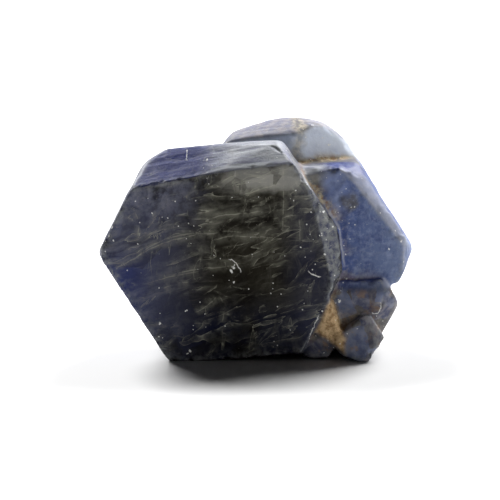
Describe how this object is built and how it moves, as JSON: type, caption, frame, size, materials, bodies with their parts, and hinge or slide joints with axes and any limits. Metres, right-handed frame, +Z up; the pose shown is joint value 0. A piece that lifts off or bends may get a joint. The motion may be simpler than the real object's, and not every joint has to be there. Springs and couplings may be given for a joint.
{
  "type": "rough sapphire crystal cluster",
  "caption": "Rough dark blue sapphire: water-worn tabular six-sided crystals grown together in parallel, with rusty clay in the crevices, lying on its worn edges.",
  "frame": {"origin": "centre of the bounding box, on the surface that the stone lies on", "axes": "+X to the right along the cluster's greatest width, +Y into the stone along the crystals' c axis, away from the broad front face, +Z up"},
  "size_m": [0.0224, 0.012, 0.0164],
  "materials": {
    "sapphire": "glossy water-worn crystal, nearly black with blue rims, pale healed cracks and rusty clay in the crevices"
  },
  "bodies": {
    "root": {"sapphire": "sapphire"}
  },
  "joints": []
}
